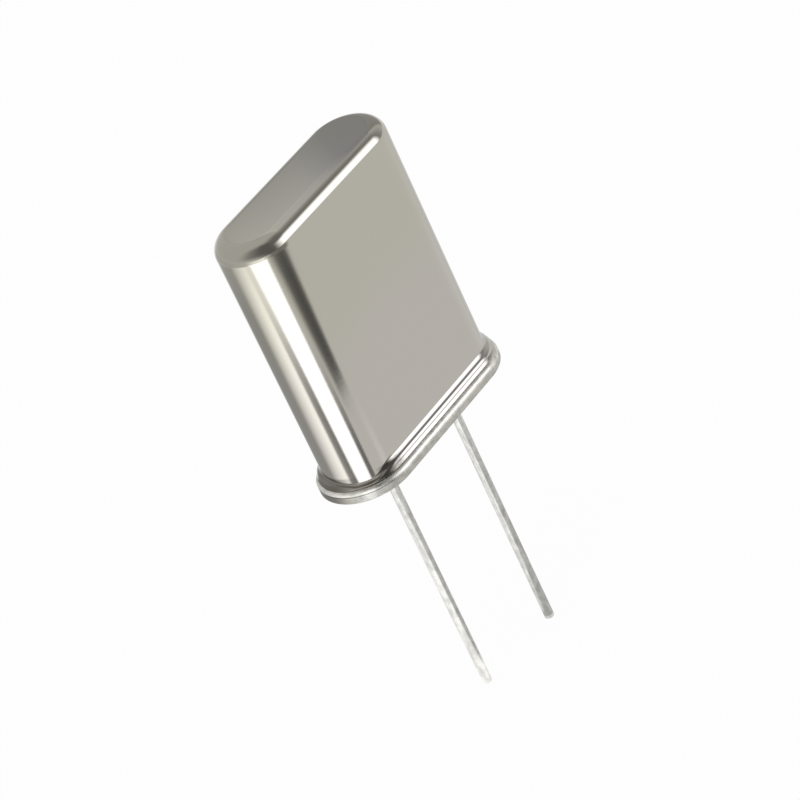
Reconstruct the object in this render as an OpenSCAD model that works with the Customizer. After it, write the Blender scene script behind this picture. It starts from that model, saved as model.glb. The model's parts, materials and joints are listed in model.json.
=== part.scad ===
// Two-lead quartz crystal unit in a welded metal can.
// Millimetres. Origin: centre of the seating plane, the underside of the base's flange.
// X runs along the row of leads, the can's broad faces look along Y, and the leads point down.

/* [Can] */
// Width of the can over its round ends
can_w = 10.16; // [8.4:0.01:13]
// Depth of the can over its two flat faces
can_d = 3.66; // [3:0.01:4.6]
// Height of the can's top over the seating plane
can_top = 12.8; // [10.5:0.05:16]
// Thickness of the can's sheet
wall = 0.3; // [0.2:0.01:0.4]
// Radius of the edge round the top
top_r = 0.7; // [0.45:0.01:0.9]
// How far the foot of the can's lip stands out of its wall
lip_over = 0.3; // [0.25:0.01:0.36]
// Height over the flange where the wall starts to bend out into the lip
lip_h = 0.65; // [0.55:0.01:0.75]
// Outer radius of that bend
bend_r = 0.45; // [0.35:0.01:0.55]
// Inner radius of that bend, where the lip leaves the flange
bend_inner_r = 0.3; // [0.2:0.01:0.35]
// Radius of the lip's crowned side, from the bend down to the foot
lip_crown_r = 0.65; // [0.5:0.01:0.9]

/* [Base] */
// Thickness of the base's flange
flange_t = 0.6; // [0.4:0.01:0.8]
// How far the base's flange stands out of the can's wall
flange_over = 0.42; // [0.34:0.01:0.6]
// Radius on the upper edge of the flange's rim
rim_top_r = 0.3; // [0.15:0.01:0.31]
// Radius on the lower edge of the flange's rim
rim_low_r = 0.08; // [0.03:0.01:0.1]
// Height of the raised middle over the flange
plateau_rise = 0.75; // [0.6:0.01:1]
// Gap between the raised middle's side and the can
plateau_gap = 0.1; // [0.03:0.01:0.2]
// Depth of the pressed hollow in the underside
hollow_depth = 0.35; // [0.2:0.01:0.5]
// How far the hollow's edge lies inside the raised middle's side
hollow_rim = 0.3; // [0.2:0.01:0.45]

/* [Leads and glass] */
// Distance between the centre lines of the two leads
lead_pitch = 4.88; // [4:0.01:5.9]
// Diameter of a lead's bare wire
wire_d = 0.43; // [0.35:0.01:0.55]
// Thickness of the tin on a lead outside the base
tin_t = 0.01; // [0.005:0.005:0.03]
// Distance from the seating plane down to the upper end of the tin
tin_start = 0.15; // [0.1:0.05:0.5]
// Length of the left lead below the seating plane
lead_left_len = 12.7; // [8:0.1:20]
// Length of the right lead below the seating plane
lead_right_len = 13.2; // [8:0.1:20]
// Radius on the cut end of a lead
lead_tip_r = 0.08; // [0.02:0.01:0.15]
// Diameter of a glass seal
seal_d = 1.5; // [1.1:0.01:1.6]
// Radius of the fillet where the glass climbs the wire
seal_fillet_r = 0.15; // [0.05:0.01:0.2]
// Bare wire between the glass and the head on the lead's inner end
neck_len = 0.35; // [0.25:0.01:0.6]
// Diameter of that head
head_d = 0.9; // [0.7:0.01:1.1]
// Thickness of that head
head_t = 0.2; // [0.1:0.01:0.3]

/* [Quartz and electrodes] */
// Thickness of the quartz blank
blank_t = 0.25; // [0.15:0.01:0.4]
// Gap between the blank's edge and the can's round end
blank_side_gap = 0.78; // [0.5:0.01:1.2]
// Least gap over and under the blank
blank_end_gap = 0.9; // [0.75:0.01:1.5]
// Diameter of an electrode
electrode_d = 5; // [3:0.1:6]
// Thickness of an electrode, nominal
electrode_t = 0.02; // [0.01:0.005:0.03]
// Width of the tab from an electrode to the blank's edge
tab_w = 1.2; // [1.1:0.01:1.5]

/* [Clips and cement] */
// Thickness of a clip's strip
clip_t = 0.1; // [0.08:0.01:0.15]
// Width of a clip's strip
clip_w = 1.4; // [1.3:0.01:1.6]
// Height of a clip's slanted part
clip_rise = 1.4; // [0.8:0.05:1.6]
// How far the blank's edge reaches into a clip's slot
slot_reach = 0.2; // [0.15:0.01:0.3]
// Gap round the blank in a clip's slot
slot_gap = 0.04; // [0.02:0.01:0.06]
// Strip left over a clip's slot
clip_tip = 0.6; // [0.3:0.05:1]
// Radius of a dot of conductive cement
cement_r = 0.5; // [0.3:0.01:0.5]

/* [Hidden] */
$fn = 64;

// The can's plan is two half circles joined by straights: their radius, and how far out their axes sit
end_r = can_d / 2;
end_x = (can_w - can_d) / 2;

// Heights and radii of the room inside the can
inner_r = end_r - wall;
plateau_r = inner_r - plateau_gap;
plateau_top = flange_t + plateau_rise;
room_top = can_top - wall;

// Levels along a lead
lead_x = lead_pitch / 2;
wire_r = wire_d / 2;
lead_r = wire_r + tin_t;
head_low = plateau_top + neck_len;
head_top = head_low + head_t;

// The blank stands in the middle of the room, and the room's width or height sets its size
blank_z = (plateau_top + room_top) / 2;
blank_r = min(end_x + inner_r - blank_side_gap, (room_top - plateau_top) / 2 - blank_end_gap);
film_y = blank_t / 2 + electrode_t;

// The clip's upright crosses the blank's edge: its inner face, and half the height of its slot
clip_x = blank_r - slot_reach;
slot_half = sqrt(blank_r * blank_r - clip_x * clip_x) + slot_gap;

// How far a cutting shape runs past the face that it cuts
past = 0.5;

// Sweeps a half section, drawn right of the round ends' axis, round the can's plan
module round_plan() {
    translate([-end_x, 0, 0]) rotate([90, 0, 90]) linear_extrude(2 * end_x) {
        children();
        mirror([1, 0]) children();
    }
    for (turn = [0, 180])
        rotate(turn) translate([end_x, 0, 0]) rotate(-90) rotate_extrude(angle = 180) children();
}

// Turns what is drawn on the right, behind the blank, to the left, before it
module on_side(side) {
    rotate(side > 0 ? 0 : 180) children();
}

// What lies between a quarter circle and its square's corner; the corner is at x, y and points along dx, dy
module corner_piece(x, y, dx, dy, r) {
    centre = [x - dx * r, y - dy * r];
    difference() {
        translate([min(x, centre[0]), min(y, centre[1])]) square(r);
        translate(centre) circle(r);
    }
}

// Half section of a block with its upper edge rounded
module cup_section(r, low, high, edge_r) {
    difference() {
        translate([0, low]) square([r, high - low]);
        corner_piece(r, high, 1, 1, edge_r);
    }
}

// Centre of the circle of radius r that ends at a point and touches a circle of radius near_r from outside
function touching_centre(near, near_r, end, r) =
    let (span = norm(end - near), way = (end - near) / span, reach = near_r + r,
         along = (reach * reach - r * r + span * span) / (2 * span))
    near + along * way + sqrt(reach * reach - along * along) * [way[1], -way[0]];

// The wall sweeps out round the bend, and the crowned side carries on down to the foot
module lip_section() {
    bend = [end_r + bend_r, flange_t + lip_h];
    crown = touching_centre(bend, bend_r, [end_r + lip_over, flange_t], lip_crown_r);
    meet = crown + (bend - crown) * lip_crown_r / (lip_crown_r + bend_r);
    difference() {
        polygon([[inner_r, flange_t], [inner_r, bend[1]], bend, meet, [meet[0], flange_t]]);
        translate(bend) circle(bend_r);
    }
    intersection() {
        translate(crown) circle(lip_crown_r);
        translate([inner_r, flange_t]) square([wall + lip_over, lip_h]);
    }
}

// One drawn sheet: top, wall and lip
module can_section() {
    difference() {
        union() {
            cup_section(end_r, flange_t, can_top, top_r);
            lip_section();
        }
        cup_section(inner_r, flange_t - past, room_top, top_r - wall);
        corner_piece(inner_r, flange_t, -1, -1, bend_inner_r);
    }
}

module can() {
    color("#B0ADA3") round_plan() can_section();
}

// Flange with a rounded rim, raised middle inside the can, and pressed hollow underneath
module base_section() {
    rim_r = end_r + flange_over;
    difference() {
        union() {
            square([rim_r, flange_t]);
            square([plateau_r, plateau_top]);
        }
        translate([0, -past]) square([plateau_r - hollow_rim, past + hollow_depth]);
        corner_piece(rim_r, flange_t, 1, 1, rim_top_r);
        corner_piece(rim_r, 0, 1, -1, rim_low_r);
    }
}

module base() {
    color("#B9B7AE") difference() {
        round_plan() base_section();
        for (side = [-1, 1])
            on_side(side) translate([lead_x, 0, -past]) cylinder(d = seal_d, h = plateau_top + 2 * past);
    }
}

// Glass bead round a lead, with a fillet up and down the wire
module seal(side) {
    color("#56604F") on_side(side) translate([lead_x, 0, 0]) rotate_extrude() {
        translate([wire_r, hollow_depth]) square([seal_d / 2 - wire_r, plateau_top - hollow_depth]);
        corner_piece(wire_r, plateau_top, -1, -1, seal_fillet_r);
        corner_piece(wire_r, hollow_depth, -1, 1, seal_fillet_r);
    }
}

// Straight tinned wire with a rounded cut end, and a flat head inside the can
module lead(side, len) {
    color("#C9C8C2") on_side(side) translate([lead_x, 0, 0]) rotate_extrude() {
        difference() {
            translate([0, -len]) square([lead_r, len - tin_start]);
            corner_piece(lead_r, -len, 1, -1, lead_tip_r);
        }
        translate([0, -tin_start]) square([wire_r, tin_start + head_top]);
        translate([0, head_low]) square([head_d / 2, head_t]);
    }
}

// Where the second face of a strip turns, at corner p of its first face, between the faces' normals
function inner_corner(p, n1, n2) = p + clip_t * (n1 + n2) / (1 + n1 * n2);

// Edge view of a bent strip: foot on the lead's head, slant outward, upright beside the blank
module clip_section() {
    foot_start = lead_x - head_d / 2;
    foot_end = [lead_x + head_d / 2, head_top];
    knee = [clip_x + clip_t, head_top + clip_rise];
    tip_z = blank_z + slot_half + clip_tip;
    slant = (knee - foot_end) / norm(knee - foot_end);
    slant_normal = [-slant[1], slant[0]];
    polygon([
        [foot_start, head_top],
        foot_end,
        knee,
        [clip_x + clip_t, tip_z],
        [clip_x, tip_z],
        inner_corner(knee, slant_normal, [-1, 0]),
        inner_corner(foot_end, [0, 1], slant_normal),
        [foot_start, head_top + clip_t]
    ]);
}

// Spring clip welded on a lead's head, with a slot that holds the blank's edge
module clip(side) {
    slot_w = 2 * (film_y + slot_gap);
    color("#A9A79F") on_side(side) difference() {
        translate([0, clip_w / 2, 0]) rotate([90, 0, 0]) linear_extrude(clip_w) clip_section();
        translate([clip_x - past, -slot_w / 2, blank_z - slot_half])
            cube([clip_t + 2 * past, slot_w, 2 * slot_half]);
    }
}

module quartz_blank() {
    color("#E6E8EA") translate([0, blank_t / 2, blank_z]) rotate([90, 0, 0])
        cylinder(r = blank_r, h = blank_t);
}

// Metal film on one face of the blank, with a tab to the edge that the clip holds
module electrode(side) {
    color("#D8D6CE") on_side(side) translate([0, film_y, blank_z]) rotate([90, 0, 0])
        linear_extrude(electrode_t) intersection() {
            circle(blank_r);
            union() {
                circle(d = electrode_d);
                translate([0, -tab_w / 2]) square([blank_r, tab_w]);
            }
        }
}

// Dot of conductive cement in the corner between a clip and the blank's film
module cement(side) {
    color("#8E8C86") on_side(side) translate([clip_x, film_y, blank_z]) intersection() {
        sphere(cement_r);
        translate([-cement_r, 0, -cement_r]) cube([cement_r, cement_r, 2 * cement_r]);
    }
}

can();
base();
seal(-1);  // seal_left
seal(1);  // seal_right
lead(-1, lead_left_len);  // lead_left
lead(1, lead_right_len);  // lead_right
clip(-1);  // clip_left
clip(1);  // clip_right
quartz_blank();
electrode(-1);  // electrode_front
electrode(1);  // electrode_back
cement(-1);  // cement_left
cement(1);  // cement_right
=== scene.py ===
import json
import math

import bmesh
import bpy
from mathutils import Matrix, Vector


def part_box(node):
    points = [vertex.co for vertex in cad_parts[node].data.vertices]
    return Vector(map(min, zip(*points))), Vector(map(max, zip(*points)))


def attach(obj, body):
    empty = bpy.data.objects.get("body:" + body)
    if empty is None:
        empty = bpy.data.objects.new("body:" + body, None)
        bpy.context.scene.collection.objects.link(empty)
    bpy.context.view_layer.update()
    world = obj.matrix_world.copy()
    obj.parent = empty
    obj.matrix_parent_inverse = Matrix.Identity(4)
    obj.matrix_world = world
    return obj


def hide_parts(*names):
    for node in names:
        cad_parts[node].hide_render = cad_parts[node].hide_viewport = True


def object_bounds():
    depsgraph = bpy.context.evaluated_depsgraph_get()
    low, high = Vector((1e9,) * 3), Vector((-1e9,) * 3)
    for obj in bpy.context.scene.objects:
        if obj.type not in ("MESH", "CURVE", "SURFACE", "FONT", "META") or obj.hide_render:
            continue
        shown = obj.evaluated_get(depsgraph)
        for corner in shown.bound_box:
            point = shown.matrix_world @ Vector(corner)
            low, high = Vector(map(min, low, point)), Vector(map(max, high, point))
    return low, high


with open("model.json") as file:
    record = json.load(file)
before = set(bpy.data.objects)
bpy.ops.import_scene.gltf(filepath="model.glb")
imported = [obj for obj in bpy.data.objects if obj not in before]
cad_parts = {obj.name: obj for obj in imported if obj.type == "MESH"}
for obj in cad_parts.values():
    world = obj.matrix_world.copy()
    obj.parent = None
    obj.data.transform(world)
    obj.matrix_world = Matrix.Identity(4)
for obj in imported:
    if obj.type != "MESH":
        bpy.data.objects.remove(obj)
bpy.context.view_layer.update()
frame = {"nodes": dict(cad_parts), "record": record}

mm = 0.001
up = Vector((0, 0, 1))
mergeGap = 0.0005 * mm  # points nearer than this become one
guardGap = 0.01 * mm  # from an arc's end to the point that keeps the run beside it flat
sharpAngle = 35  # degrees between faces from which an edge is drawn sharp

print("frame loaded:", len(frame["nodes"]), "nodes")

cameraSet = {
    "azimuth": -40.57,  # degrees, 0 looks along +Y
    "elevation": 30.72,
    "roll": -25.48,
    "distance": 157 * mm,
    "lens": 167.5,  # mm, as the sensor is
    "sensor": 36,
    "clip": (0.01, 10),  # m
    "aim": (0.0, 0.0, 2.0),  # mm
    "aimRight": 0.257,  # mm, across the view
    "aimUp": -0.62,
}


def cameraAxes(azimuth, elevation, roll):
    turn, tilt, lean = (math.radians(a) for a in (azimuth, elevation, roll))
    back = Vector((math.sin(turn) * math.cos(tilt), -math.cos(turn) * math.cos(tilt), math.sin(tilt)))
    level = Vector((math.cos(turn), math.sin(turn), 0))
    rise = back.cross(level)
    right = level * math.cos(lean) + rise * math.sin(lean)
    return right, back.cross(right), back


def makeCamera(values):
    right, rise, back = cameraAxes(values["azimuth"], values["elevation"], values["roll"])
    aim = Vector(values["aim"]) * mm + right * values["aimRight"] * mm + rise * values["aimUp"] * mm
    data = bpy.data.cameras.new("camera")
    data.lens = values["lens"]
    data.sensor_width = values["sensor"]
    data.clip_start, data.clip_end = values["clip"]
    camera = bpy.data.objects.new("camera", data)
    bpy.context.scene.collection.objects.link(camera)
    turn = Matrix((right, rise, back)).transposed().to_4x4()
    camera.matrix_world = Matrix.Translation(aim + back * values["distance"]) @ turn
    bpy.context.scene.camera = camera


makeCamera(cameraSet)
print("camera set")

# Sizes that the frame gives
canLow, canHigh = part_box("can")
baseLow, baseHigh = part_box("base")
endX = canHigh.x - canHigh.y  # the axis of each round end
flangeTop = canLow.z
leadMount = next(m for m in frame["record"]["mounts"] if m["name"] == "leads")
leadX = leadMount["dims"]["spacing_x_mm"] * mm / 2
tinRadius = leadMount["dims"]["stud_r_mm"] * mm
sides = {"left": -1, "right": 1}


def outline(bm, place, corners, arcSteps, closed=False):
    # Section wire: each corner is (out from the axis, height, rounding), and place puts it in space.
    before = set(bm.edges)
    verts = [bm.verts.new(place(out, height)) for out, height, rounding in corners]
    for pair in list(zip(verts, verts[1:])) + ([(verts[-1], verts[0])] if closed else []):
        bm.edges.new(pair)
    arcs = set()
    for vert, (out, height, rounding) in zip(verts, corners):
        if rounding:
            made = bmesh.ops.bevel(
                bm, geom=[vert], offset=rounding, offset_type="OFFSET", segments=arcSteps,
                profile=0.5, affect="VERTICES", material=-1)
            arcs.update(made["edges"])
    arcVerts = {v for e in arcs for v in e.verts}
    flats = [e for e in bm.edges if e not in arcs and e not in before]
    for edge in flats:
        for vert in [v for v in edge.verts if v in arcVerts]:
            span = edge if vert in edge.verts else next(e for e in vert.link_edges if e not in arcs)
            if span.calc_length() > 3 * guardGap:
                bmesh.utils.edge_split(span, vert, guardGap / span.calc_length())
    return verts[-1]


def edgesOf(geom):
    return [g for g in geom if isinstance(g, bmesh.types.BMEdge)]


def vertsOf(geom):
    return [g for g in geom if isinstance(g, bmesh.types.BMVert)]


def sweepPlan(bm, steps):
    # Turns the section round one end, draws it straight to the other, turns it there and draws it back.
    rim = list(bm.edges)
    for side in (1, -1):
        turned = bmesh.ops.spin(
            bm, geom=rim, cent=(side * endX, 0, 0), axis=up, angle=math.pi, steps=steps, use_merge=False)
        drawn = bmesh.ops.extrude_edge_only(bm, edges=edgesOf(turned["geom_last"]))["geom"]
        ends = set(vertsOf(drawn))
        bmesh.ops.translate(bm, verts=list(ends), vec=(-side * 2 * endX, 0, 0))
        rim = [e for e in edgesOf(drawn) if ends.issuperset(e.verts)]


def tidyShell(bm):
    bmesh.ops.remove_doubles(bm, verts=bm.verts, dist=mergeGap)
    bmesh.ops.recalc_face_normals(bm, faces=bm.faces)


def turnedSolid(x, corners, steps, arcSteps, closed=False):
    bm = bmesh.new()
    outline(bm, lambda out, height: (x + out, 0, height), corners, arcSteps, closed)
    bmesh.ops.spin(
        bm, geom=list(bm.edges), cent=(x, 0, 0), axis=up, angle=2 * math.pi, steps=steps, use_merge=True)
    tidyShell(bm)
    return bm


def smoothStep(value, low, high):
    share = min(1, max(0, (value - low) / (high - low)))
    return share * share * (3 - 2 * share)


def leftEndTurn(vert):  # degrees round the left end, from 0 at the front to 180 at the back
    return math.degrees(math.atan2(-endX - vert.co.x, -vert.co.y))


def leftEndShare(turn, span):  # rises between the span's first two angles, and falls between its last two
    return smoothStep(turn, *span[:2]) * (1 - smoothStep(turn, *span[2:]))


def addPiece(bm, name, nodes):
    mesh = bpy.data.meshes.new(name)
    bm.to_mesh(mesh)
    bm.free()
    mesh.shade_smooth()
    mesh.set_sharp_from_angle(angle=math.radians(sharpAngle))
    piece = bpy.data.objects.new(name, mesh)
    bpy.context.scene.collection.objects.link(piece)
    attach(piece, "root")
    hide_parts(*nodes)
    return piece


can = {
    "wall": 0.3 * mm,
    "topRound": 0.7 * mm,
    "lipOver": 0.3 * mm,  # the foot of the lip past the wall
    "lipHeight": 0.62 * mm,  # over the flange, where the wall starts to bend out
    "bendRound": 0.4 * mm,
    "bendSlope": 50,  # degrees off plumb where the bend ends
    "bendInner": 0.3 * mm,
    "kneeRound": 0.27 * mm,
    "kneeSlope": 16,  # degrees off plumb that the knee leaves
    "footRound": 0.03 * mm,
    "creaseSpan": (2, 45, 115, 165),  # degrees round the left end, for its tighter crease
    "creaseTight": 0.75,  # share of the bend's height that is lost there
    "creaseLean": 0.32 * mm,  # how much the crease rises per radian, towards the back
    "creaseLowest": -0.26 * mm,  # where it stops dropping, towards the front
    "creaseLevel": 110,  # degrees round the end where it is level with the rest
    "creaseStop": 128,  # degrees where it stops rising
    "turnSteps": 80,  # round each half circle
    "arcSteps": 14,
}
endRadius = canHigh.y - can["lipOver"]
innerRadius = endRadius - can["wall"]


def acrossWall(out, height):  # a section point, put where the front wall meets the right end
    return Vector((endX, -out, height))


def polar(angle):
    return Vector((math.cos(angle), math.sin(angle)))


def turnWire(bm, vert, centre, angle, steps):  # an arc that goes on from the wire's last point
    turned = bmesh.ops.spin(
        bm, geom=[vert], cent=acrossWall(*centre), axis=(-1, 0, 0), angle=angle, steps=steps, use_merge=False)
    return vertsOf(turned["geom_last"])[0]


def creaseLeftEnd(bm, crease, values):
    # There the wall runs straight down to a sharper crease, which drops towards the front.
    top = flangeTop + values["lipHeight"] + mergeGap
    for vert in bm.verts:
        if vert.co.z < top:
            turn = leftEndTurn(vert)
            share = leftEndShare(turn, values["creaseSpan"])
            past = math.radians(min(turn, values["creaseStop"]) - values["creaseLevel"])
            lean = max(values["creaseLean"] * past, values["creaseLowest"])
            rise = min(1, (vert.co.z - flangeTop) / (crease - flangeTop))
            over = max(0, vert.co.z - crease)
            vert.co.z += share * (lean * rise - over * values["creaseTight"])


def makeCan(values):
    # The lip bends out, turns down over a knee, flares again and ends in the foot's rounding.
    wall, footRound = values["wall"], values["footRound"]
    bendSlope, kneeSlope = math.radians(values["bendSlope"]), math.radians(values["kneeSlope"])
    bend = Vector((endRadius + values["bendRound"], flangeTop + values["lipHeight"]))
    knee = bend - polar(bendSlope) * (values["bendRound"] + values["kneeRound"])
    foot = Vector((canHigh.y - footRound, flangeTop + footRound))
    # The flare's arc carries on from the knee's and meets the foot's, which sets its radius.
    flareStart = knee + polar(kneeSlope) * values["kneeRound"]
    gap = flareStart - foot
    flareRound = (gap.length_squared - footRound ** 2) / (2 * (footRound - gap.dot(polar(kneeSlope))))
    flare = flareStart + polar(kneeSlope) * flareRound
    flareSlope = math.atan2(flare.y - foot.y, flare.x - foot.x)
    centres = [bend, knee, flare, foot]
    slopes = [0, bendSlope, kneeSlope, flareSlope, -math.pi / 2]
    bm = bmesh.new()
    vert = outline(bm, acrossWall, [
        (0, canHigh.z, 0),
        (endRadius, canHigh.z, values["topRound"]),
        (endRadius, bend.y, 0),
    ], values["arcSteps"])
    for centre, slope, nextSlope in zip(centres, slopes, slopes[1:]):
        vert = turnWire(bm, vert, centre, nextSlope - slope, values["arcSteps"])
    outline(bm, acrossWall, [
        (foot.x, flangeTop, 0),
        (innerRadius, flangeTop, values["bendInner"]),
        (innerRadius, canHigh.z - wall, values["topRound"] - wall),
        (0, canHigh.z - wall, 0),
    ], values["arcSteps"])
    sweepPlan(bm, values["turnSteps"])
    creaseLeftEnd(bm, bend.y - values["bendRound"] * math.sin(bendSlope), values)
    tidyShell(bm)
    return addPiece(bm, "can_shell", ["can"])


canShell = makeCan(can)
print("can made")

base = {
    "rimTopRound": 0.3 * mm,
    "squarePower": 5,  # of the rim's squarer rounding at the left end, where 2 is an arc
    "squareSpan": (15, 50, 130, 170),  # degrees round the end
    "rimLowRound": 0.08 * mm,
    "plateauGap": 0.1 * mm,  # raised middle to the can's inner wall
    "hollowRim": 0.3 * mm,
    "hollowDepth": 0.35 * mm,
    "pressRound": 0.08 * mm,  # rounding that pressing leaves in the hollow's corners
    "turnSteps": 80,
    "arcSteps": 8,
    "holeSteps": 64,
}
seal = {
    "radius": 0.75 * mm,
    "climb": 0.15 * mm,  # fillet where the glass climbs the wire
    "climbEnd": 1.02,  # how far the glass reaches along the wire, in fillets
    "bulge": 0.02 * mm,
    "steps": 64,
    "arcSteps": 8,
}


def squareLeftRim(bm, values):
    # The left end's upper rim is pushed out from its rounding's centre, towards a square corner.
    rimRound, power = values["rimTopRound"], values["squarePower"]
    for vert in bm.verts:
        share = leftEndShare(leftEndTurn(vert), values["squareSpan"])
        out = math.hypot(vert.co.x + endX, vert.co.y) - (baseHigh.y - rimRound)
        height = vert.co.z - (flangeTop - rimRound)
        if share and out > 0 and height > 0:
            grow = (rimRound / (out ** power + height ** power) ** (1 / power) - 1) * share
            way = Vector((vert.co.x + endX, vert.co.y, 0)).normalized()
            vert.co += (way * out + up * height) * grow


def makeBase(values):
    plateauRadius = innerRadius - values["plateauGap"]
    hollowRadius = plateauRadius - values["hollowRim"]
    press = values["pressRound"]
    stub = 2 * press  # of each flat that is filled later
    corners = [
        (plateauRadius - stub, baseHigh.z, 0),
        (plateauRadius, baseHigh.z, press),
        (plateauRadius, flangeTop, 0),
        (baseHigh.y, flangeTop, values["rimTopRound"]),
        (baseHigh.y, baseLow.z, values["rimLowRound"]),
        (hollowRadius, baseLow.z, press),
        (hollowRadius, values["hollowDepth"], press),
        (hollowRadius - stub, values["hollowDepth"], 0),
    ]
    bm = bmesh.new()
    outline(bm, acrossWall, corners, values["arcSteps"])
    sweepPlan(bm, values["turnSteps"])
    squareLeftRim(bm, values)
    bmesh.ops.remove_doubles(bm, verts=bm.verts, dist=mergeGap)
    # Each flat is filled round the two holes, and a wall joins each hole's two circles.
    openEdges = [e for e in bm.edges if e.is_boundary]
    circles = {}
    for height in (values["hollowDepth"], baseHigh.z):
        loop = [e for e in openEdges if abs(e.verts[0].co.z - height) < mergeGap]
        for side in sides.values():
            made = bmesh.ops.create_circle(
                bm, cap_ends=False, segments=values["holeSteps"], radius=seal["radius"],
                matrix=Matrix.Translation((side * leadX, 0, height)))
            circles[side, height] = list({e for v in made["verts"] for e in v.link_edges})
            loop += circles[side, height]
        bmesh.ops.triangle_fill(bm, use_beauty=True, use_dissolve=False, edges=loop, normal=up)
    for side in sides.values():
        bmesh.ops.bridge_loops(bm, edges=circles[side, values["hollowDepth"]] + circles[side, baseHigh.z])
    tidyShell(bm)
    return addPiece(bm, "base_plate", ["base"])


basePlate = makeBase(base)
print("base made")


def makeSeal(side, name, values):
    wireRadius = lead["bareRadius"]
    high, low = baseHigh.z + values["bulge"], base["hollowDepth"] - values["bulge"]
    climb = values["climb"]
    reach = climb * values["climbEnd"]
    corners = [
        (wireRadius, high + reach, 0),
        (wireRadius, high, climb),
        (values["radius"], high, values["bulge"] * 2),
        (values["radius"], low, values["bulge"] * 2),
        (wireRadius, low, climb),
        (wireRadius, low - reach, 0),
    ]
    bm = turnedSolid(side * leadX, corners, values["steps"], values["arcSteps"], closed=True)
    return addPiece(bm, name + "_bead", [name])


lead = {
    "bareRadius": 0.215 * mm,
    "tinStart": 0.15 * mm,  # below the seating plane
    "headRadius": 0.45 * mm,
    "headThickness": 0.2 * mm,
    "tipRound": 0.08 * mm,
    "steps": 48,
    "arcSteps": 6,
}


def makeLead(side, name, values):
    low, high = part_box(name)
    bare, head, headLow = values["bareRadius"], values["headRadius"], high.z - values["headThickness"]
    corners = [
        (0, high.z, 0),
        (head, high.z, 0),
        (head, headLow, 0),
        (bare, headLow, 0),
        (bare, -values["tinStart"], 0),
        (tinRadius, -values["tinStart"], 0),
        (tinRadius, low.z, values["tipRound"]),
        (0, low.z, 0),
    ]
    bm = turnedSolid(side * leadX, corners, values["steps"], values["arcSteps"])
    return addPiece(bm, name + "_wire", [name])


beads = [makeSeal(side, "seal_" + word, seal) for word, side in sides.items()]
wires = [makeLead(side, "lead_" + word, lead) for word, side in sides.items()]
print("seals and leads made")


class Shade:
    # One socket of a node tree, so that shader maths is written as plain expressions.
    def __init__(self, tree, socket=None):
        self.tree = tree
        self.socket = socket

    def add(self, kind, settings=None, inputs=None, output=0):
        node = self.tree.nodes.new(kind)
        for key, value in (settings or {}).items():
            if key == "stops":
                fillRamp(node.color_ramp, value)
            else:
                setattr(node, key, value)
        for key, value in (inputs or {}).items():
            socket = pick(node.inputs, key)
            if isinstance(value, Shade):
                self.tree.links.new(value.socket, socket)
            else:
                socket.default_value = value
        return Shade(self.tree, pick(node.outputs, output) if node.outputs else None)

    def math(self, operation, *values):
        return self.add("ShaderNodeMath", {"operation": operation}, dict(enumerate(values)))

    def __add__(self, other):
        return self.math("ADD", self, other)

    def __radd__(self, other):
        return self.math("ADD", other, self)

    def __sub__(self, other):
        return self.math("SUBTRACT", self, other)

    def __rsub__(self, other):
        return self.math("SUBTRACT", other, self)

    def __mul__(self, other):
        return self.math("MULTIPLY", self, other)

    def absolute(self):
        return self.math("ABSOLUTE", self)

    def split(self):  # a vector's parts by name
        parts = self.add("ShaderNodeSeparateXYZ", {}, {"Vector": self})
        return {name: Shade(self.tree, pick(parts.socket.node.outputs, name)) for name in "XYZ"}

    def smooth(self, low, high):
        return self.add(
            "ShaderNodeMapRange", {"interpolation_type": "SMOOTHSTEP"},
            {"Value": self, "From Min": low, "From Max": high}, "Result")

    def blend(self, first, second):  # this socket is the factor
        return self.add(
            "ShaderNodeMix", {"data_type": "RGBA"}, {"Factor": self, "A": first, "B": second}, "Result")

    def tint(self, colour):
        return self.add(
            "ShaderNodeMix", {"data_type": "RGBA", "blend_type": "MULTIPLY"},
            {"Factor": 1.0, "A": self, "B": rgba(colour)}, "Result")


def pick(sockets, key):
    if isinstance(key, int):
        return sockets[key]
    return next(s for s in sockets if s.name == key and s.enabled)


def fillRamp(ramp, stops):
    while len(ramp.elements) < len(stops):
        ramp.elements.new(1)
    for element, (place, value) in zip(ramp.elements, stops):
        element.position = place
        element.color = rgba(value if isinstance(value, tuple) else gray(value))


def newMaterial(name):
    material = bpy.data.materials.new(name)
    material.use_nodes = True
    material.node_tree.nodes.clear()
    return material, Shade(material.node_tree)


def rgba(colour, gain=1.0):
    return tuple(c * gain for c in colour) + (1.0,)


def gray(level):
    return (level,) * 3


def noise(root, grain, detail, stretch=(1, 1, 1), offset=(0, 0, 0)):
    # Noise over the surface, with grain the size of its lumps in metres.
    place = root.add("ShaderNodeTexCoord", output="Object")
    scaled = root.add(
        "ShaderNodeMapping", {},
        {"Vector": place, "Location": offset, "Scale": tuple(1 / (grain * s) for s in stretch)}, "Vector")
    return root.add("ShaderNodeTexNoise", {}, {"Vector": scaled, "Scale": 1.0, "Detail": detail}, "Fac")


def twoTone(lumps, edges, colour, gain):  # darker and lighter by gain where the lumps are low and high
    return lumps.smooth(*edges).blend(rgba(colour, 1 - gain), rgba(colour, 1 + gain))


def broken(mask, lumps, spread):  # spread is the mask's share where the lumps are 0, and what they add
    return mask * (spread[0] + lumps * spread[1])


def finishSurface(root, colour, roughness, normal, **fixed):
    inputs = {"Base Color": colour, "Roughness": roughness, "Normal": normal}
    inputs.update({key.replace("_", " "): value for key, value in fixed.items()})
    shader = root.add("ShaderNodeBsdfPrincipled", {}, inputs, "BSDF")
    root.add("ShaderNodeOutputMaterial", {}, {"Surface": shader})


def bump(root, height, depth, under=None):
    inputs = {"Height": height, "Distance": depth, "Strength": 1.0}
    if under is not None:
        inputs["Normal"] = under
    return root.add("ShaderNodeBump", {}, inputs, "Normal")


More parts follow.
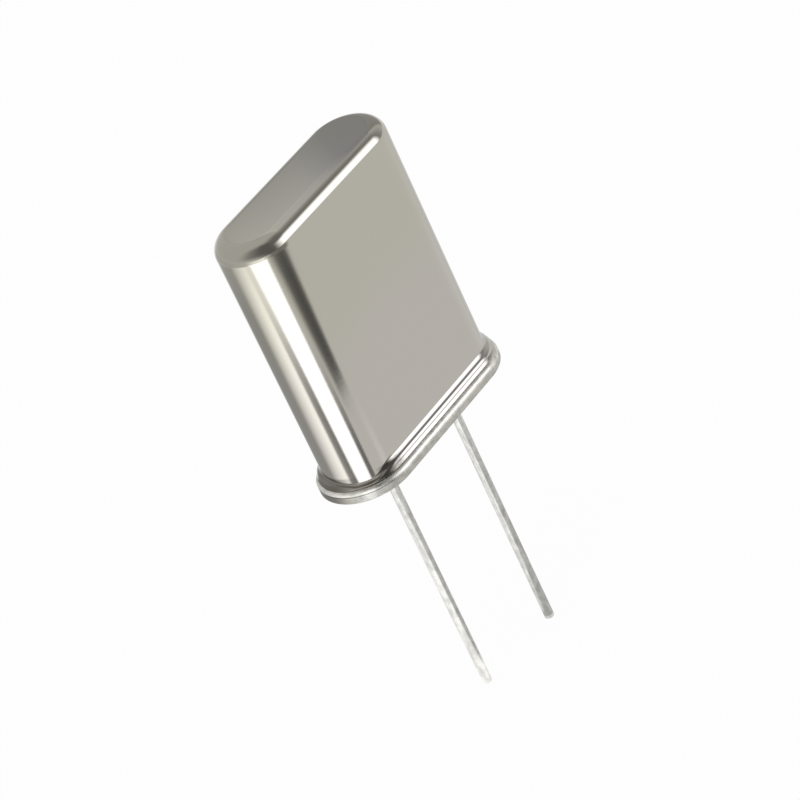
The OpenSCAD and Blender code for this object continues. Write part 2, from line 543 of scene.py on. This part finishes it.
# Painted shade at the left end, over the can's lip and the base's rim: how dark it is, and where.
leftEndShade = {
    "shadeShare": (0.42, 0.41, 0.4),  # share of the colour left by the painted shade at the left end
    "shadeX": (-3.4 * mm, -4.8 * mm),  # it grows towards the left
    "shadeY": (-1.2 * mm, 0.1 * mm),  # and away from the front
}


# The left end's area where shade and highlights are painted.
def paintedLightArea(spot):
    return spot["X"].smooth(*leftEndShade["shadeX"]) * spot["Y"].smooth(*leftEndShade["shadeY"])


canFinish = {
    "colour": (0.452, 0.430, 0.392),
    "warmColour": (0.434, 0.418, 0.360),
    "warmRise": (3.0 * mm, 11.0 * mm),  # the warm tone grows up the can
    "blotch": 4.0 * mm,
    "blotchShare": 0.5,
    "grain": 0.07 * mm,
    "grainDepth": 0.0003 * mm,
    "wave": 1.3 * mm,
    "waveDepth": 0.002 * mm,
    "roughness": 0.09,
    "roughnessSwing": 0.06,
    "shadeHeight": (1.1 * mm, 0.98 * mm),  # painted shade over the lip at the left end, which grows downwards
    "shadeSpread": (0.6, 0.7),
    "shadeSpotX": (-2.7 * mm, -3.4 * mm),  # painted shade, darkest at the front of the left end
    "shadeSpotY": (-1.5 * mm, -1.75 * mm),
    "shadeSpotHeight": (1.08 * mm, 0.98 * mm),
    "shadeSpotSpread": (0.35, 1.1),
    "footShadeHeight": (0.84 * mm, 0.74 * mm),
    "footShade": (0.75, 0.74, 0.73),  # share of the colour left by the painted shade at the lip's foot
}


def nickelMaterial(values):
    material, root = newMaterial("plated_can")
    blotch = noise(root, values["blotch"], detail=2.0)
    grain = noise(root, values["grain"], detail=1.0, stretch=(1, 1, 2.5))
    wave = noise(root, values["wave"], detail=1.0, stretch=(1, 1, 3))
    spot = root.add("ShaderNodeTexCoord", output="Object").split()
    warmth = spot["Z"].smooth(*values["warmRise"]) + (blotch - 0.5) * 2 * values["blotchShare"]
    colour = warmth.smooth(0, 1).blend(rgba(values["colour"]), rgba(values["warmColour"]))
    inPaintedLight = paintedLightArea(spot)
    # Painted shade over the lip at the left end.
    paintedShade = inPaintedLight * spot["Z"].smooth(*values["shadeHeight"])
    colour = broken(paintedShade, wave, values["shadeSpread"]).blend(colour, colour.tint(leftEndShade["shadeShare"]))
    # Painted shade, darkest at the front of the left end.
    shadeSpot = spot["X"].smooth(*values["shadeSpotX"]) * spot["Y"].smooth(*values["shadeSpotY"])
    shadeSpot = shadeSpot * spot["Z"].smooth(*values["shadeSpotHeight"])
    colour = broken(shadeSpot, grain, values["shadeSpotSpread"]).blend(colour, colour.tint(leftEndShade["shadeShare"]))
    # Painted shade at the lip's foot, at the left end.
    foot = inPaintedLight * spot["Z"].smooth(*values["footShadeHeight"])
    colour = foot.blend(colour, colour.tint(values["footShade"]))
    roughness = values["roughness"] + (grain - 0.5) * values["roughnessSwing"]
    normal = bump(root, wave, values["waveDepth"])
    normal = bump(root, grain, values["grainDepth"], normal)
    finishSurface(root, colour, roughness, normal, Metallic=1.0)
    return material


baseFinish = {
    "colour": (0.45, 0.44, 0.40),
    "mottle": 0.35 * mm,
    "mottleEdges": (0.35, 0.65),
    "mottleGain": 0.12,
    "grain": 0.09 * mm,
    "grainDepth": 0.0015 * mm,
    "roughness": 0.38,
    "roughnessSwing": 0.3,
    "highlightHeight": (0.27 * mm, 0.4 * mm),  # painted highlight: the rim is made brighter from here up, all round
    "highlightSpread": (0.3, 1.3),
    "highlightGain": 1.45,
    # Painted shade on the rim's lower part, at the left end.
    "shadeHeight": (0.43 * mm, 0.38 * mm),
    "shadeSpread": (0.5, 0.8),
    "bandHighlight": (0.8, 0.79, 0.77),  # painted highlight: a bright band above the painted groove line, at the left end
    "bandHighlightLow": (0.41 * mm, 0.45 * mm),
    "bandHighlightTop": (0.57 * mm, 0.53 * mm),
    "bandHighlightSpread": (0.3, 1.2),
    "grooveShadeHeight": 0.37 * mm,  # painted shade of a groove: a dark line at the left end
    "grooveShadeSway": 0.03 * mm,
    "grooveShadeWidth": (0.045 * mm, 0.0135 * mm),  # half widths of all the line and of its dark middle
    "grooveShadeLeft": 0.4,  # share of the colour left in it
}


def baseMaterial(values):
    material, root = newMaterial("plated_base")
    spot = root.add("ShaderNodeTexCoord", output="Object").split()
    mottle = noise(root, values["mottle"], detail=3.0)
    grain = noise(root, values["grain"], detail=2.0, stretch=(2.5, 2.5, 1))
    inPaintedLight = paintedLightArea(spot)
    colour = twoTone(mottle, values["mottleEdges"], values["colour"], values["mottleGain"])
    # Painted highlight on the rim's upper part, all round.
    bare = broken(spot["Z"].smooth(*values["highlightHeight"]), grain, values["highlightSpread"])
    colour = bare.blend(colour, colour.tint(gray(values["highlightGain"])))
    # Painted shade on the rim's lower part, at the left end.
    paintedShade = inPaintedLight * spot["Z"].smooth(*values["shadeHeight"])
    colour = broken(paintedShade, mottle, values["shadeSpread"]).blend(colour, colour.tint(leftEndShade["shadeShare"]))
    # Painted highlight: a bright band at the left end.
    highlightBand = inPaintedLight * spot["Z"].smooth(*values["bandHighlightLow"]) * spot["Z"].smooth(*values["bandHighlightTop"])
    colour = broken(highlightBand, mottle, values["bandHighlightSpread"]).blend(colour, rgba(values["bandHighlight"]))
    # Painted shade of a groove: a dark, slightly wavering line at the left end.
    offGrooveShade = (spot["Z"] + (grain - 0.5) * values["grooveShadeSway"] - values["grooveShadeHeight"]).absolute()
    grooveShade = offGrooveShade.smooth(*values["grooveShadeWidth"]) * spot["X"].smooth(*leftEndShade["shadeX"])
    colour = grooveShade.blend(colour, colour.tint(gray(values["grooveShadeLeft"])))
    roughness = values["roughness"] + (mottle - 0.5) * values["roughnessSwing"]
    finishSurface(root, colour, roughness, bump(root, grain, values["grainDepth"]), Metallic=1.0)
    return material


glassFinish = {
    "colour": (0.035, 0.05, 0.045),
    "swirl": 0.3 * mm,
    "swirlEdges": (0.3, 0.7),
    "swirlGain": 0.35,
    "swirlDepth": 0.002 * mm,
    "roughness": 0.12,
    "roughnessSwing": 0.08,
}


def glassMaterial(values):
    material, root = newMaterial("sealing_glass")
    swirl = noise(root, values["swirl"], detail=3.0)
    colour = twoTone(swirl, values["swirlEdges"], values["colour"], values["swirlGain"])
    roughness = values["roughness"] + swirl * values["roughnessSwing"]
    normal = bump(root, swirl, values["swirlDepth"])
    finishSurface(root, colour, roughness, normal, IOR=1.5, Coat_Weight=0.3)
    return material


tinFinish = {
    "colour": (0.60, 0.595, 0.57),
    "mottle": 0.22 * mm,
    "mottleShare": 0.6,  # of the tone, where the smears make the rest
    "smearDepth": 0.002 * mm,
    "toneEdges": (0.36, 0.64),
    "toneGain": 0.16,
    "roughness": 0.26,
    "roughnessSwing": 0.2,
}


def tinMaterial(values):
    material, root = newMaterial("tinned_wire")
    # The tin runs lengthwise.
    mottle = noise(root, values["mottle"], detail=3.0, stretch=(1, 1, 1.8))
    smear = noise(root, values["mottle"], detail=1.0, stretch=(1, 1, 6), offset=(3, 1, 7))
    tone = mottle * values["mottleShare"] + smear * (1 - values["mottleShare"])
    colour = twoTone(tone, values["toneEdges"], values["colour"], values["toneGain"])
    roughness = values["roughness"] + (mottle - 0.5) * values["roughnessSwing"]
    finishSurface(root, colour, roughness, bump(root, smear, values["smearDepth"]), Metallic=1.0)
    return material


innerLumps = {
    "edges": (0.3, 0.7),
    "depth": 0.01,  # share of the lumps' size
    "roughnessSwing": 0.1,
}
hiddenFinishes = {
    # node words: colour, metallic, roughness, lump size in metres, swing of the colour
    "clip": ((0.62, 0.58, 0.50), 1.0, 0.28, 0.15 * mm, 0.10),
    "quartz": ((0.78, 0.80, 0.80), 0.0, 0.32, 0.12 * mm, 0.05),
    "electrode": ((0.80, 0.79, 0.76), 1.0, 0.22, 0.4 * mm, 0.06),
    "cement": ((0.42, 0.41, 0.39), 0.6, 0.55, 0.06 * mm, 0.25),
}


def innerMaterial(name, finish):
    colour, metallic, roughness, size, gain = finish
    material, root = newMaterial(name)
    lumps = noise(root, size, detail=3.0)
    tone = twoTone(lumps, innerLumps["edges"], colour, gain)
    uneven = roughness + (lumps - 0.5) * innerLumps["roughnessSwing"]
    finishSurface(root, tone, uneven, bump(root, lumps, innerLumps["depth"] * size), Metallic=metallic)
    return material


def wear(piece, material):
    piece.data.materials.clear()
    piece.data.materials.append(material)


wear(canShell, nickelMaterial(canFinish))
wear(basePlate, baseMaterial(baseFinish))
glass = glassMaterial(glassFinish)
tin = tinMaterial(tinFinish)
for bead in beads:
    wear(bead, glass)
for wire in wires:
    wear(wire, tin)
for word, finish in hiddenFinishes.items():
    material = innerMaterial(word + "_finish", finish)
    for node in frame["nodes"]:
        if node.startswith(word):
            for slot in frame["nodes"][node].material_slots:
                slot.material = material
print("materials set")


def stageObject(name, bm, material):
    mesh = bpy.data.meshes.new(name)
    bm.to_mesh(mesh)
    bm.free()
    mesh.materials.append(material)
    made = bpy.data.objects.new(name, mesh)
    bpy.context.scene.collection.objects.link(made)
    return made


floorSet = {
    "radius": 1.2,
    "steps": 96,
    "colour": (0.92, 0.92, 0.92),
    "shine": 0.95,  # share that stays white in the camera, metal and glass
}
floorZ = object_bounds()[0].z


def makeFloor(values):
    material, root = newMaterial("pale_floor")
    path = {name: root.add("ShaderNodeLightPath", output=name) for name in
            ("Is Camera Ray", "Is Glossy Ray", "Is Transmission Ray")}
    seen = path["Is Camera Ray"] + path["Is Glossy Ray"] + path["Is Transmission Ray"]
    matt = root.add("ShaderNodeBsdfDiffuse", {}, {"Color": rgba(values["colour"])})
    white = root.add("ShaderNodeEmission", {}, {"Color": rgba(gray(1)), "Strength": 1.0})
    face = root.add("ShaderNodeMixShader", {}, {0: seen * values["shine"], 1: matt, 2: white})
    back = root.add("ShaderNodeNewGeometry", output="Backfacing")
    clear = root.add("ShaderNodeBsdfTransparent")
    root.add("ShaderNodeOutputMaterial", {}, {
        "Surface": root.add("ShaderNodeMixShader", {}, {0: back, 1: face, 2: clear})})
    bm = bmesh.new()
    bmesh.ops.create_circle(
        bm, cap_ends=True, segments=values["steps"], radius=values["radius"],
        matrix=Matrix.Translation((0, 0, floorZ)))
    stageObject("floor", bm, material)


def direction(azimuth, elevation=0.0):  # azimuth 0 is the front, and grows towards the left end
    turn, tilt = math.radians(azimuth), math.radians(elevation)
    return Vector((-math.sin(turn) * math.cos(tilt), -math.cos(turn) * math.cos(tilt), math.sin(tilt)))


cardSet = {
    "across": 24,  # cells of each card
    "along": 8,
    "edge": -0.001,  # share where a fade starts, just off the card
    "layerStep": 0.2 * mm,  # between cards that lie on the floor
}


def cardMaterial(name, values):
    # A card glows by its levels from side to side, and fades out at its edges.
    material, root = newMaterial(name)
    place = root.add("ShaderNodeTexCoord", output="UV").split()
    across, along = place["X"], place["Y"]
    left, right, near, far = values["fade"]
    edge = cardSet["edge"]
    mask = across.smooth(edge, left) * (1 - across).smooth(edge, right)
    mask = mask * along.smooth(edge, near) * (1 - along).smooth(edge, far)
    glow = root.add("ShaderNodeValToRGB", {"stops": values["levels"]}, {"Fac": across}, "Color")
    light = root.add("ShaderNodeEmission", {}, {"Color": glow, "Strength": 1.0})
    clear = root.add("ShaderNodeBsdfTransparent")
    root.add("ShaderNodeOutputMaterial", {}, {
        "Surface": root.add("ShaderNodeMixShader", {}, {0: mask, 1: clear, 2: light})})
    material.cycles.emission_sampling = "NONE"
    return material


def makeCard(name, values, place):  # place takes the shares across and along the card, from 0 to 1
    bm = bmesh.new()
    bm.loops.layers.uv.new("card")
    bmesh.ops.create_grid(
        bm, x_segments=cardSet["across"], y_segments=cardSet["along"], size=0.5, calc_uvs=True)
    for vert in bm.verts:
        vert.co = place(vert.co.x + 0.5, vert.co.y + 0.5)
    card = stageObject(name, bm, cardMaterial(name, values))
    card.visible_camera = False
    card.visible_diffuse = False
    card.visible_transmission = False
    card.visible_volume_scatter = False
    card.visible_shadow = False


def between(pair, share):
    return pair[0] + (pair[1] - pair[0]) * share


streakWhite = (2.6, 2.65, 2.85)  # cool, so that the warm metal shows it as plain white


# Cards that lie on the floor, each over the ones before it. reach is mm from the left end's axis, or from
# the middle or the right end's axis where side is 0 or 1. start and end are azimuths at the near and the far
# side, and levels run from start to end.
floorCards = {
    "lead_gray_card": {
        "reach": (0.1, 20), "start": (-110, -110), "end": (34, 34), "side": 0,
        "levels": [(0.0, 0.65), (1.0, 0.6)], "fade": (0.15, 0.12, 0.001, 0.12),
    },
    "lead_white_card": {
        "reach": (0.1, 20), "start": (26, 26), "end": (170, 170), "side": 0,
        "levels": [(0.0, 1.55), (0.4, 1.4), (1.0, 1.15)], "fade": (0.12, 0.12, 0.001, 0.12),
    },
    "gray_far_card": {
        "reach": (40, 900), "start": (80, 80), "end": (200, 200),
        "levels": [(0.0, 0.9), (0.5, 0.72), (1.0, 0.7)], "fade": (0.15, 0.15, 0.012, 0.05),
    },
    "pale_card": {
        "reach": (16, 34), "start": (-20, -20), "end": (6, 6),
        "levels": [(0.0, 1.12), (1.0, 1.15)], "fade": (0.4, 0.4, 0.05, 0.5),
    },
    "cream_card": {
        "reach": (18, 60), "start": (66, 76), "end": (152, 152),
        "levels": [(0.0, 2.1), (0.42, 2.0), (0.6, 1.5), (0.75, 1.05), (1.0, 0.55)],
        "fade": (0.02, 0.15, 0.02, 0.45),
    },
    "gray_card": {
        "reach": (18, 54), "start": (128, 132), "end": (200, 200),
        "levels": [(0.0, 0.55), (0.7, 0.47), (1.0, 0.52)], "fade": (0.25, 0.15, 0.02, 0.35),
    },
    "white_far_card": {
        "reach": (50, 420), "start": (36, 36), "end": (94, 94),
        "levels": [(0.0, 1.9), (0.6, 1.7), (1.0, 1.15)], "fade": (0.2, 0.35, 0.02, 0.98),
    },
    "white_card": {
        "reach": (18, 62), "start": (47, 28), "end": (76, 94),
        "levels": [(0.0, streakWhite), (1.0, streakWhite)], "fade": (0.14, 0.1, 0.01, 0.2),
    },
    "side_strip": {
        "reach": (18, 49), "start": (70, 78), "end": (98, 102),
        "levels": [(0.0, 0.3), (0.4, 0.4), (1.0, 0.7)], "fade": (0.3, 0.3, 0.02, 0.5),
    },
    "thin_strip": {
        "reach": (16, 40), "start": (34, 25), "end": (48, 41),
        "levels": [(0.0, 0.35), (0.6, 0.25), (1.0, 0.25)], "fade": (0.35, 0.25, 0.01, 0.5),
    },
    "black_card": {
        "reach": (30.5, 56), "start": (-7, -40), "end": (30, 40),
        "levels": [(0.0, 0.3), (0.4, 0.14), (0.6, 0.2), (1.0, 0.5)], "fade": (0.25, 0.35, 0.1, 0.2),
    },
    "black_far_card": {
        "reach": (43, 420), "start": (-34, -34), "end": (39, 39),
        "levels": [(0.0, 0.5), (0.5, 0.28), (1.0, 0.42)], "fade": (0.2, 0.25, 0.02, 0.01),
    },
    "right_card": {
        "reach": (8, 90), "start": (-160, -160), "end": (-78, -78), "side": 1,
        "levels": [(0.0, 0.72), (1.0, 0.85)], "fade": (0.1, 0.3, 0.1, 0.3),
    },
}


def layFloorCard(name, values, layer):
    middle = Vector((values.get("side", -1) * endX, 0, floorZ + cardSet["layerStep"] * layer))

    def place(across, along):
        azimuth = between((between(values["start"], along), between(values["end"], along)), across)
        return middle + direction(azimuth) * between(values["reach"], along) * mm

    makeCard(name, values, place)


# Cards that stand round the object: azimuth and elevation as seen from the can's top.
standingCards = {
    "softbox": {
        "azimuth": (-58, 10), "elevation": (-6, 42), "distance": 400,
        "levels": [(0.0, streakWhite), (0.5, streakWhite), (1.0, 2.0)], "fade": (0.3, 0.53, 0.17, 0.33),
    },
    "left_flag": {
        "azimuth": (-95, 75), "elevation": (-7, 88), "distance": 450,
        "levels": [(0.0, 0.35), (0.5, 0.26), (0.65, 0.19), (1.0, 0.19)], "fade": (0.3, 0.3, 0.01, 0.3),
    },
    "side_flag": {
        "azimuth": (10, 120), "elevation": (2, 90), "distance": 460,
        "levels": [(0.0, 0.19), (0.3, 0.22), (0.5, 0.33), (1.0, 0.62)], "fade": (0.25, 0.4, 0.22, 0.4),
    },
    "right_flag": {
        "azimuth": (-150, -88), "elevation": (-10, 56), "distance": 40,
        "levels": [(0.0, 0.5), (1.0, 0.42)], "fade": (0.15, 0.15, 0.2, 0.2),
    },
}


def standCard(name, values):
    middle = Vector((0, 0, canHigh.z))

    def place(across, along):
        azimuth, elevation = between(values["azimuth"], across), between(values["elevation"], along)
        return middle + direction(azimuth, elevation) * values["distance"] * mm

    makeCard(name, values, place)


# Cards that arch over the can's top, about its long axis: x in mm, and the angle up from the back.
archCards = {
    "top_arch": {
        "x": (4, 16), "angle": (22, 104), "radius": 14,
        "levels": [
            (0.0, (0.94, 0.94, 0.94)),
            (0.2, (0.90, 0.90, 0.91)),
            (0.45, (0.82, 0.82, 0.86)),
            (0.52, (0.77, 0.77, 0.82)),
            (0.64, (0.59, 0.59, 0.64)),
            (0.72, (0.46, 0.46, 0.51)),
            (1.0, (0.45, 0.45, 0.50)),
        ],
        "fade": (0.12, 0.1, 0.27, 0.12),
    },
    "back_arch": {
        "x": (3, 18), "angle": (-4, 46), "radius": 15,
        "levels": [(0.0, 0.62), (0.5, 0.5), (1.0, 0.38)], "fade": (0.3, 0.1, 0.2, 0.1),
    },
}


def archCard(name, values):
    def place(across, along):
        angle, radius = math.radians(between(values["angle"], along)), values["radius"]
        spot = Vector((between(values["x"], across), radius * math.cos(angle), radius * math.sin(angle)))
        return Vector((0, 0, canHigh.z)) + spot * mm

    makeCard(name, values, place)


skySet = {
    "horizon": 0.79,
    "upper": 0.755,
    "rise": 0.3,  # height, as a share, where the upper level is reached
}


def makeSky(values):
    world = bpy.data.worlds.new("sky")
    world.use_nodes = True
    world.node_tree.nodes.clear()
    root = Shade(world.node_tree)
    height = root.add("ShaderNodeTexCoord", output="Generated").split()["Z"]
    colour = height.smooth(0, values["rise"]).blend(
        rgba(gray(values["horizon"])), rgba(gray(values["upper"])))
    light = root.add("ShaderNodeBackground", {}, {"Color": colour, "Strength": 1.0})
    root.add("ShaderNodeOutputWorld", {}, {"Surface": light})
    bpy.context.scene.world = world


keyLamp = {
    "azimuth": 70,
    "elevation": 60,
    "distance": 0.5,
    "size": 0.25,
    "power": 0.25,
}


def makeLamp(values):
    data = bpy.data.lights.new("key", "AREA")
    data.shape = "DISK"
    data.size = values["size"]
    data.energy = values["power"]
    lamp = bpy.data.objects.new("key", data)
    bpy.context.scene.collection.objects.link(lamp)
    toLamp = direction(values["azimuth"], values["elevation"])
    lamp.location = toLamp * values["distance"]
    lamp.rotation_euler = toLamp.to_track_quat("Z", "Y").to_euler()
    lamp.visible_glossy = False


makeFloor(floorSet)
for layer, (name, values) in enumerate(floorCards.items(), 1):
    layFloorCard(name, values, layer)
for name, values in standingCards.items():
    standCard(name, values)
for name, values in archCards.items():
    archCard(name, values)
makeSky(skySet)
makeLamp(keyLamp)
bpy.context.scene.view_settings.view_transform = "Standard"
print("floor, cards, sky and lamp set")
